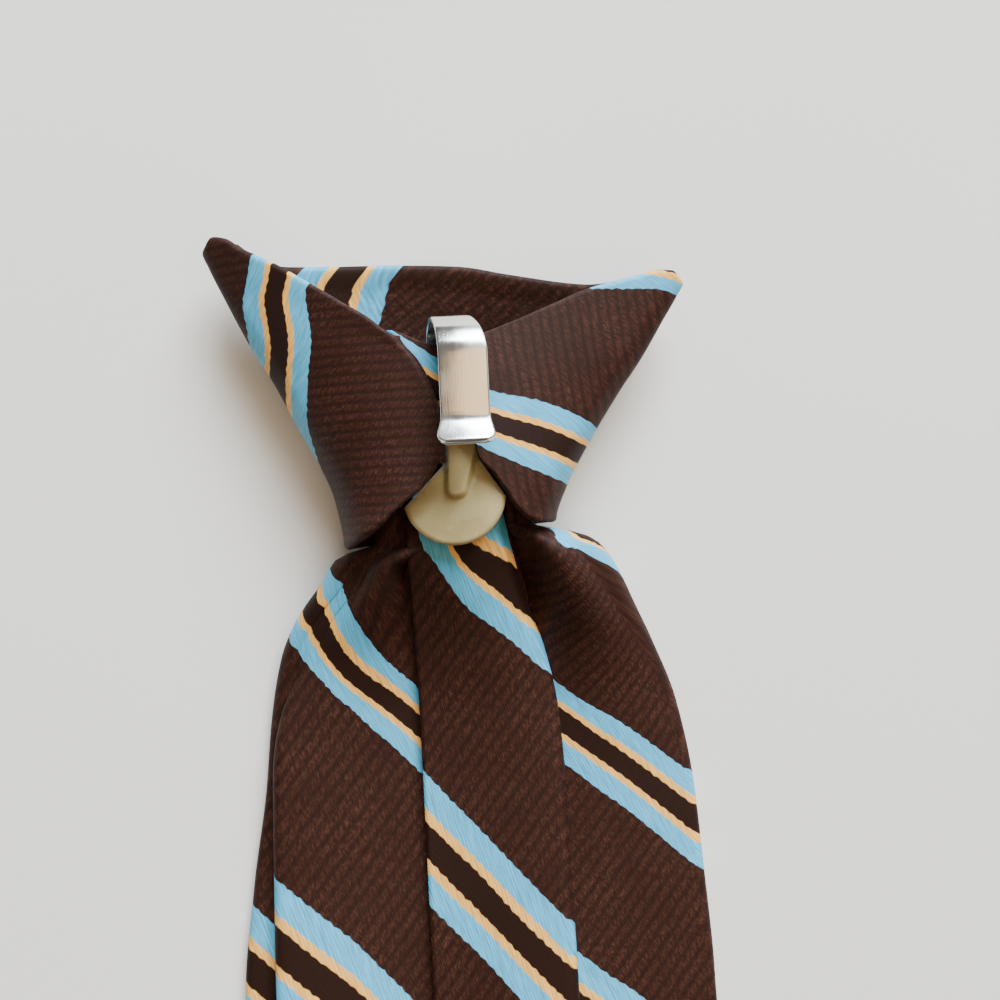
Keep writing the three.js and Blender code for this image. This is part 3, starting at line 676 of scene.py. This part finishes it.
def hook_stations():
    """The strip's middle line (y, z), how far it has come over from its root (lean) and its width."""
    crest = HOOK_LEG_Z + 2 * HOOK_RADIUS
    bend = np.linspace(0, 1, 49)
    angle = bend * math.pi - math.pi / 2
    root = np.linspace(0, 1, 9)[:-1]
    flat = np.linspace(0, 1, 13)[1:]
    lip = np.linspace(0, 1, 25)[1:] ** 0.8
    corner = np.maximum(0, 1 - (1 - lip) * LIP_LENGTH / LIP_CORNER)
    cut = 2 * LIP_CORNER * (1 - np.sqrt(1 - np.minimum(corner, 0.999) ** 2))
    y = np.concatenate([
        mix(HOOK_LEG_END, HOOK_BEND_Y, root),
        HOOK_BEND_Y + HOOK_RADIUS * np.cos(angle),
        mix(HOOK_BEND_Y, HOOK_LIP_Y, flat),
        HOOK_LIP_Y - lip * LIP_LENGTH,
    ])
    z = np.concatenate([
        np.full(8, HOOK_LEG_Z),
        HOOK_LEG_Z + HOOK_RADIUS + HOOK_RADIUS * np.sin(angle),
        np.full(12, crest),
        crest + LIP_RISE * lip ** 1.7,
    ])
    lean = np.concatenate([np.zeros(8), (bend - 0.2) / 0.8, np.ones(36)])
    width = np.concatenate([
        np.full(8, STRIP_ROOT),
        mix(STRIP_ROOT, STRIP_WIDTH, smooth((bend - 0.25) / 0.75)),
        np.full(12, STRIP_WIDTH),
        mix(STRIP_WIDTH, STRIP_LIP, smooth(lip)) - cut,
    ])
    return y, z, lean, width


def make_hook():
    """A rounded rectangle carried along the strip's middle line, its width changing on the way."""
    y, z, lean, width = hook_stations()
    x = HOOK_X - HOOK_LEAN * (1 - smooth(lean))
    dy, dz = np.gradient(y), np.gradient(z)
    size = np.hypot(dy, dz)
    out_y, out_z = -dz / size, dy / size
    corner = np.radians(np.linspace(0, 90, 6))
    turn = np.concatenate([corner + k * math.pi / 2 for k in range(4)])
    side_x = np.repeat([1, -1, -1, 1], 6)
    side_n = np.repeat([1, 1, -1, -1], 6)
    across = side_x * (width[:, None] / 2 - STRIP_EDGE) + STRIP_EDGE * np.cos(turn)
    out = side_n * (STRIP_THICK / 2 - STRIP_EDGE) + STRIP_EDGE * np.sin(turn)
    points = np.stack([
        x[:, None] + across,
        y[:, None] + out * out_y[:, None],
        z[:, None] + out * out_z[:, None],
    ], -1)
    rows, count = points.shape[:2]
    index = np.arange(rows * count).reshape(rows, count)
    after = np.roll(index, -1, 1)
    quads = np.stack([index[:-1], index[1:], after[1:], after[:-1]], -1).reshape(-1, 4)
    ends = [index[0], index[-1][::-1]]
    return add_mesh("bent_hook", points.reshape(-1, 3), quads, ends=ends)


def circle_through(a, b, c):
    """Middle and radius of the circle through three points: it is equally far from all three, which gives
    one linear equation for each of two chords."""
    a, b, c = np.array(a), np.array(b), np.array(c)
    chords = 2 * np.array([b - a, c - a])
    centre = np.linalg.solve(chords, np.array([b @ b - a @ a, c @ c - a @ a]))
    return centre, float(np.linalg.norm(centre - a))


def former_outline():
    """The former's plan as a closed line of points: the fan's round lower edge, its straight right side,
    the bar up and round its end, and the fan's left side back."""
    centre, radius = circle_through(FAN_LEFT, FAN_BOTTOM, FAN_RIGHT)
    start = math.atan2(FAN_LEFT[1] - centre[1], FAN_LEFT[0] - centre[0])
    end = math.atan2(FAN_RIGHT[1] - centre[1], FAN_RIGHT[0] - centre[0])
    angle = np.linspace(start, end, 91)
    lower = centre + radius * np.stack([np.cos(angle), np.sin(angle)], -1)
    lean = HOOK_X - HOOK_LEAN
    corners = np.array([
        FAN_RIGHT, FAN_NECK_RIGHT, (FAN_NECK_RIGHT[0], PLATE_END_Y), (lean + BAR_WIDTH / 2, BAR_TOP_Y),
        (lean - BAR_WIDTH / 2, BAR_TOP_Y), (FAN_NECK_LEFT[0], PLATE_END_Y), FAN_NECK_LEFT, FAN_LEFT,
    ])
    share = np.linspace(0, 1, 21)[:-1, None]
    sides = [mix(corners[k], corners[k + 1], share) for k in range(len(corners) - 1)]
    return np.concatenate([lower[:-1], *sides])


def make_former():
    """Rings between the former's middle and its outline. Its top follows the sloping plate down to the bar,
    rounds off at the outline and swells in a half-round tongue, and its underside runs parallel."""
    outline = former_outline()
    centre = np.array(FORMER_MIDDLE)
    ring = 1 - (1 - np.linspace(0, 1, 57)) ** 1.8
    plan = centre + ring[:, None, None] * (outline - centre)
    px, py = plan[..., 0], plan[..., 1]
    tangent = np.roll(outline, -1, 0) - np.roll(outline, 1, 0)
    tangent = tangent / np.linalg.norm(tangent, axis=1, keepdims=True)
    reach = outline - centre
    away = np.abs(reach[:, 0] * tangent[:, 1] - reach[:, 1] * tangent[:, 0])
    inside = (1 - ring)[:, None] * away
    level = mix(FAN_TOP - FAN_SLOPE * (py - FAN_RIGHT[1]), BAR_TOP, smooth((py - PLATE_END_Y + 1.0) / 2))
    share = np.clip(inside / PLATE_ROUND, 0, 1)
    round_off = PLATE_ROUND * (1 - np.sqrt(np.maximum(1 - (1 - share) ** 2, 0)))
    up = (py - TONGUE_END[1]) / (TONGUE_ROOT[1] - TONGUE_END[1])
    middle = mix(TONGUE_END[0], TONGUE_ROOT[0], np.clip(up, 0, 1))
    half = mix(TONGUE_END[2], TONGUE_ROOT[2], np.clip(up, 0, 1))
    from_middle = np.hypot((px - middle) / half, np.minimum(py - TONGUE_END[1], 0) / 1.2)
    swell = 0.8 * smooth((1.12 - from_middle) / 0.42) + 0.2 * smooth((1.5 - from_middle) / 1.2)
    tongue = TONGUE_HEIGHT * swell * smooth((PLATE_END_Y + 0.4 - py) / 1.2) * smooth((py - 3.2) / 2.4)
    top = np.stack([px, py, level - round_off * (1 - 0.9 * swell) + tongue], -1)
    under = np.stack([px, py, level - PLATE_THICK + round_off], -1)
    rings, count = px.shape
    index = np.arange(rings * count).reshape(rings, count)
    after = np.roll(index, -1, 1)
    back = rings * count
    face = np.stack([index[:-1], index[1:], after[1:], after[:-1]], -1)[1:].reshape(-1, 4)
    rim = np.stack([index[-1], index[-1] + back, after[-1] + back, after[-1]], -1)
    points = np.concatenate([top.reshape(-1, 3), under.reshape(-1, 3)])
    caps = [index[1], index[1][::-1] + back]
    return add_mesh("moulded_former", points, np.concatenate([face, face[:, ::-1] + back, rim]), ends=caps)


class Nodes:
    """Short words for a material's nodes and links."""

    def __init__(self, name):
        self.material = bpy.data.materials.new(name)
        self.material.use_nodes = True
        self.tree = self.material.node_tree
        self.shader = self.tree.nodes["Principled BSDF"]

    def add(self, kind, **values):
        node = self.tree.nodes.new(kind)
        for name, value in values.items():
            setattr(node, name, value)
        return node

    def put(self, socket, value):
        if isinstance(value, bpy.types.NodeSocket):
            self.tree.links.new(value, socket)
        else:
            socket.default_value = value

    def math(self, operation, a, b=0.0, c=0.0):
        node = self.add("ShaderNodeMath", operation=operation)
        for socket, value in zip(node.inputs, (a, b, c)):
            self.put(socket, value)
        return node.outputs[0]

    def wave(self, value, pitch):
        """From 0 to 1 and back once in each pitch."""
        turn = self.math("MULTIPLY", value, 2 * math.pi / pitch)
        return self.math("MULTIPLY_ADD", self.math("SINE", turn), 0.5, 0.5)

    def ramp(self, value, stops):
        node = self.add("ShaderNodeValToRGB")
        elements = node.color_ramp.elements
        while len(elements) < len(stops):
            elements.new(0.5)
        for element, (at, tint) in zip(elements, stops):
            element.position = at
            element.color = (*tint, 1)
        self.put(node.inputs[0], value)
        return node.outputs[0]

    def span(self, value, low, high, start=0.0, end=1.0):
        node = self.add("ShaderNodeMapRange", interpolation_type="SMOOTHSTEP")
        for socket, number in zip(node.inputs, (value, low, high, start, end)):
            self.put(socket, number)
        return node.outputs[0]

    def join(self, x, y, z=0.0):
        node = self.add("ShaderNodeCombineXYZ")
        for socket, value in zip(node.inputs, (x, y, z)):
            self.put(socket, value)
        return node.outputs[0]

    def noise(self, vector, scale, detail=2.0, rough=0.5):
        node = self.add("ShaderNodeTexNoise")
        self.put(node.inputs["Vector"], vector)
        node.inputs["Scale"].default_value = scale
        node.inputs["Detail"].default_value = detail
        node.inputs["Roughness"].default_value = rough
        return node.outputs["Fac"]

    def blend(self, share, a, b, how="MIX"):
        node = self.add("ShaderNodeMix", data_type="RGBA", blend_type=how)
        self.put(node.inputs[0], share)
        self.put(node.inputs[6], a)
        self.put(node.inputs[7], b)
        return node.outputs[2]

    def bump(self, height, strength, distance):
        node = self.add("ShaderNodeBump")
        node.inputs["Strength"].default_value = strength
        node.inputs["Distance"].default_value = distance
        self.put(node.inputs["Height"], height)
        return node.outputs[0]


def colour(red, green, blue):
    """A colour given as 0 to 255 on a screen, as the linear values that the shader takes."""
    values = np.array([red, green, blue]) / 255
    linear = np.where(values <= 0.04045, values / 12.92, ((values + 0.055) / 1.055) ** 2.4)
    return (float(linear[0]), float(linear[1]), float(linear[2]))


# The weave in millimetres: how far a stripe's edge steps with the ribs, wavers and softens, and the pitch
# of the ground's floats and of the stripes' threads
EDGE_STEP = 0.2
EDGE_WAVER = 0.34
EDGE_SOFT = 0.07
FLOAT_PITCH = 0.38
THREAD_PITCH = 0.42

# The ground; its darker colour in the ribs' troughs is painted shade, and the floats' lighter colour is a
# painted highlight
GROUND = (*colour(38, 15, 7), 1)
GROUND_RIB_SHADE = (*colour(33, 13, 6), 1)
FLOAT = (*colour(84, 50, 38), 1)
INNER = colour(30, 13, 7)
CREAM = colour(250, 186, 96)
BLUE = colour(92, 184, 220)


def striped_cloth(name):
    """Woven stripes from the piece's own stripe coordinates. The place across the repeat picks the colour,
    and its edges step with the ribs. The ground has ribs across the stripes, each a row of short slanted
    floats; its colour paints shade into the ribs' troughs and highlights onto the floats, strongest on the
    ribs' crests. The stripes have long smooth threads that slant across them, their colour painted darker in
    the low parts of the threads' bump and lighter on its high parts, with random fibre flecks as well."""
    n = Nodes(name)
    uv = n.add("ShaderNodeUVMap", uv_map="pattern").outputs[0]
    split = n.add("ShaderNodeSeparateXYZ")
    n.put(split.inputs[0], uv)
    across = n.math("MULTIPLY", split.outputs[0], 1000.0)
    along = n.math("MULTIPLY", split.outputs[1], 1000.0)
    scallop = n.math("PINGPONG", along, RIB / 2)
    waver = n.noise(n.join(across, along), 0.9, 2.0)
    shifted = n.math("ADD", across, n.math("MULTIPLY_ADD", scallop, EDGE_STEP, -0.07))
    shifted = n.math("ADD", shifted, n.math("MULTIPLY_ADD", waver, EDGE_WAVER, -EDGE_WAVER / 2))
    wrapped = n.math("WRAP", shifted, REPEAT / 2, -REPEAT / 2)
    share = n.math("DIVIDE", n.math("ABSOLUTE", wrapped), REPEAT / 2)
    soft = EDGE_SOFT / (REPEAT / 2)
    cream = CREAM_START / (REPEAT / 2)
    blue = BLUE_START / (REPEAT / 2)
    ground = BLUE_END / (REPEAT / 2)
    stripes = n.ramp(share, [
        (0.0, INNER), (cream - soft, INNER), (cream + soft, CREAM), (blue - soft, CREAM),
        (blue + soft, BLUE), (1.0, BLUE),
    ])
    satin = n.ramp(share, [
        (0.0, (0, 0, 0)), (cream - soft, (0, 0, 0)), (cream + soft, (1, 1, 1)),
        (ground - soft, (1, 1, 1)), (ground + soft, (0, 0, 0)),
    ])
    outside = n.span(share, ground - soft, ground + soft)

    rib = n.wave(along, RIB)
    step = n.math("MULTIPLY_ADD", along, 0.55, across)
    ridge = n.wave(step, FLOAT_PITCH)
    chance = n.noise(n.join(n.math("MULTIPLY", step, 2.1), n.math("MULTIPLY", along, 1.15)), 1.0, 2.0, 0.6)
    fine = n.noise(n.join(n.math("MULTIPLY", step, 7.0), n.math("MULTIPLY", along, 2.2)), 1.0, 2.0, 0.6)
    broad = n.noise(n.join(across, along), 0.16, 2.0)
    # Where the floats' painted highlights fall: on the fine noise's raised spots, strongest on the ribs'
    # crests
    float_highlight = n.math("MULTIPLY", n.span(chance, 0.3, 0.66), n.span(fine, 0.3, 0.72))
    float_highlight = n.math("MULTIPLY", float_highlight, n.span(rib, 0.05, 0.7, 0.34, 1.0))
    float_highlight = n.math("MULTIPLY", float_highlight, n.span(broad, 0.3, 0.7, 0.45, 0.9))
    # Painted shade: the ground darkens in the ribs' troughs
    woven = n.blend(n.span(rib, 0.0, 0.55), GROUND_RIB_SHADE, GROUND)
    # Painted highlights: the floats' lighter colour
    woven = n.blend(float_highlight, woven, FLOAT)

    slant = n.math("ADD", n.math("MULTIPLY", across, 0.88), n.math("MULTIPLY", along, 0.47))
    thread = n.wave(slant, THREAD_PITCH)
    fibre = n.noise(n.join(n.math("MULTIPLY", slant, 4.2), n.math("MULTIPLY", along, 0.32)), 1.0, 3.0, 0.65)
    # Painted shade and light on the stripes' threads: darker in the low parts of their bump, lighter on its
    # high parts; the fibre noise also gives random flecks of tone
    shade = n.math("MULTIPLY", n.span(fibre, 0.25, 0.75, 0.62, 1.12),
                   n.math("MULTIPLY_ADD", thread, 0.14, 0.86))
    stripes_with_thread_shade = n.blend(1.0, stripes, n.join(shade, shade, shade), "MULTIPLY")
    # The group's middle band gets the same painted shade in the rib troughs and painted highlights on the
    # floats
    inner = n.blend(float_highlight, n.blend(n.span(rib, 0.0, 0.7), GROUND_RIB_SHADE, (*INNER, 1)), GROUND)
    inside = n.blend(satin, inner, stripes_with_thread_shade)
    n.put(n.shader.inputs["Base Color"], n.blend(outside, inside, woven))

    ground_height = n.math("MULTIPLY_ADD", ridge, 0.4, n.math("MULTIPLY", fine, 0.5))
    ground_height = n.math("MULTIPLY_ADD", rib, 0.3, ground_height)
    satin_height = n.math("MULTIPLY_ADD", thread, 0.25, n.math("MULTIPLY_ADD", fibre, 0.5, 0.6))
    height = n.add("ShaderNodeMix", data_type="FLOAT")
    n.put(height.inputs[0], satin)
    n.put(height.inputs[2], ground_height)
    n.put(height.inputs[3], satin_height)
    n.put(n.shader.inputs["Normal"], n.bump(height.outputs[0], 0.5, 0.00006))
    n.put(n.shader.inputs["Roughness"], n.span(satin, 0.0, 1.0, 0.62, 0.42))
    n.shader.inputs["Specular IOR Level"].default_value = 0.16
    n.shader.inputs["Sheen Weight"].default_value = 0.02
    n.shader.inputs["Sheen Roughness"].default_value = 0.35
    n.shader.inputs["Sheen Tint"].default_value = (*colour(170, 150, 150), 1)
    return n.material


def bright_metal(name):
    """Plated steel: fine brush lines along the strip and faint smudges change its roughness."""
    n = Nodes(name)
    place_node = n.add("ShaderNodeTexCoord").outputs["Object"]
    stretch = n.add("ShaderNodeMapping")
    stretch.inputs["Scale"].default_value = (9000, 300, 300)
    n.put(stretch.inputs["Vector"], place_node)
    brush = n.noise(stretch.outputs[0], 1.0, 3.0)
    smudge = n.noise(place_node, 260.0, 3.0)
    rough = n.math("ADD", n.span(smudge, 0.3, 0.7, 0.10, 0.2), n.math("MULTIPLY", brush, 0.1))
    n.put(n.shader.inputs["Roughness"], rough)
    n.put(n.shader.inputs["Base Color"], n.ramp(smudge, [
        (0.3, colour(214, 208, 200)), (0.7, colour(232, 230, 226)),
    ]))
    n.shader.inputs["Metallic"].default_value = 1.0
    n.put(n.shader.inputs["Normal"], n.bump(brush, 0.12, 0.00004))
    return n.material


def ivory_plastic(name):
    """Moulded plastic: glossy ivory with faint clouds and a fine skin."""
    n = Nodes(name)
    place_node = n.add("ShaderNodeTexCoord").outputs["Object"]
    cloud = n.noise(place_node, 300.0, 3.0)
    skin = n.noise(place_node, 4000.0, 2.0)
    n.put(n.shader.inputs["Base Color"], n.ramp(cloud, [
        (0.3, colour(138, 121, 79)), (0.7, colour(160, 143, 98)),
    ]))
    n.put(n.shader.inputs["Roughness"], n.span(cloud, 0.3, 0.7, 0.22, 0.34))
    n.put(n.shader.inputs["Normal"], n.bump(skin, 0.15, 0.00003))
    n.shader.inputs["Coat Weight"].default_value = 0.25
    n.shader.inputs["Coat Roughness"].default_value = 0.12
    n.shader.inputs["Subsurface Weight"].default_value = 0.15
    n.shader.inputs["Subsurface Scale"].default_value = 0.002
    return n.material


def pale_paper(name):
    """The floor: matt off-white with broad, very faint clouds."""
    n = Nodes(name)
    place_node = n.add("ShaderNodeTexCoord").outputs["Object"]
    cloud = n.noise(place_node, 9.0, 2.0)
    n.put(n.shader.inputs["Base Color"], n.ramp(cloud, [
        (0.3, colour(226, 220, 212)), (0.7, colour(232, 227, 220)),
    ]))
    n.shader.inputs["Roughness"].default_value = 0.8
    return n.material


def make_camera():
    """Straight above the knot, as far away and as wide as in the photograph, rolled by under 3 degrees."""
    data = bpy.data.cameras.new("camera")
    data.sensor_width = 36.0
    data.lens = 46.89
    data.clip_start = 0.005
    camera = bpy.data.objects.new("camera", data)
    camera.location = (0.00561, 0.21563, 0.17194)
    camera.rotation_euler = (0, 0, math.radians(-2.758))
    bpy.context.scene.collection.objects.link(camera)
    bpy.context.scene.camera = camera


def make_light(name, location, target, size, power, tint):
    """A rectangular soft box at location that faces target."""
    data = bpy.data.lights.new(name, "AREA")
    data.shape = "RECTANGLE"
    data.size, data.size_y = size
    data.energy = power
    data.color = tint
    light = bpy.data.objects.new(name, data)
    light.location = location
    towards = np.array(target) - np.array(location)
    away = math.hypot(towards[0], towards[1])
    pitch = math.atan2(away, -towards[2])
    light.rotation_euler = (pitch, 0, math.atan2(-towards[0], towards[1]))
    bpy.context.scene.collection.objects.link(light)


def make_surroundings():
    """A pale floor, a cool window behind the collar end, a warm ceiling lamp and a plain grey sky that is
    darker at the horizon than overhead, which gives the metal something to reflect."""
    mesh = bpy.data.meshes.new("floor")
    reach = 6.0
    mesh.from_pydata(
        [(-reach, -reach, 0), (reach, -reach, 0), (reach, reach, 0), (-reach, reach, 0)], [], [(0, 1, 2, 3)]
    )
    floor = bpy.data.objects.new("floor", mesh)
    floor.data.materials.append(pale_paper("pale_floor"))
    bpy.context.scene.collection.objects.link(floor)
    knot = (0, NECK_Y * MM, 0)
    make_light("window", (0.53, 1.62, 1.10), knot, (1.3, 1.1), 135, (0.80, 0.91, 1.0))
    make_light("ceiling", (0.5, -0.11, 2.2), knot, (1.9, 1.9), 25, (1.0, 0.68, 0.36))
    world = bpy.data.worlds.new("studio")
    world.use_nodes = True
    nodes, links = world.node_tree.nodes, world.node_tree.links
    height = nodes.new("ShaderNodeSeparateXYZ")
    links.new(nodes.new("ShaderNodeTexCoord").outputs["Generated"], height.inputs[0])
    sky = nodes.new("ShaderNodeValToRGB")
    links.new(height.outputs["Z"], sky.inputs[0])
    for element, at, shade in zip(sky.color_ramp.elements, (0.25, 0.95), (0.5, 0.8)):
        element.position = at
        element.color = (shade, shade * 0.97, shade * 0.94, 1)
    links.new(sky.outputs[0], nodes["Background"].inputs[0])
    nodes["Background"].inputs[1].default_value = 0.26
    bpy.context.scene.world = world


def dress(piece, node, material):
    """Give a piece its material and its body, and hide the CAD node that it stands for."""
    piece.data.materials.append(material)
    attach(piece, BODY)
    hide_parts(node)


def main():
    """Camera, floor and lights first, then the two sheets of cloth, the hook and the former."""
    make_camera()
    make_surroundings()
    cloth = striped_cloth("striped_cloth")
    blade = make_blade()
    dress(blade, "blade", cloth)
    knot = make_knot()
    dress(knot, "knot_wrap", cloth)
    dress(make_hook(), "clip_hook", bright_metal("plated_steel"))
    dress(make_former(), "knot_former", ivory_plastic("ivory_plastic"))


main()
